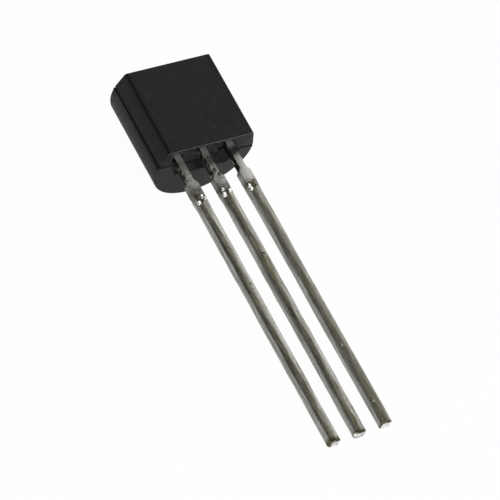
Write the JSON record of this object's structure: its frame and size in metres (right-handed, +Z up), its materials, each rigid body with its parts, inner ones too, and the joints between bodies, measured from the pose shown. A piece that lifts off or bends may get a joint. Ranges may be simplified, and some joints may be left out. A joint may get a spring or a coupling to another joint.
{
  "type": "to-92 transistor",
  "caption": "Small through-hole transistor: D-shaped black moulded body with a flat face and long straight solder-coated leads, lying on its round back.",
  "frame": {"origin": "on the surface it lies on, under the middle of its bounding box", "axes": "+Z up, close to the outward normal of the flat face; +Y along the leads from the tips to the body; +X across the lead row"},
  "size_m": [0.0046, 0.0186, 0.0041],
  "materials": {
    "epoxy": "fine matt moulded epoxy",
    "coated_lead": "dull solder coat",
    "silicon": "polished silicon",
    "silver_paste": "cured silver-filled paste",
    "gold": "drawn gold wire"
  },
  "bodies": {
    "root": {"moulded_body": "epoxy", "emitter_lead": "coated_lead", "base_lead": "coated_lead", "collector_lead": "coated_lead", "silicon_die": "silicon", "die_attach": "silver_paste", "base_bond_wire": "gold", "emitter_bond_wire": "gold"}
  },
  "joints": []
}
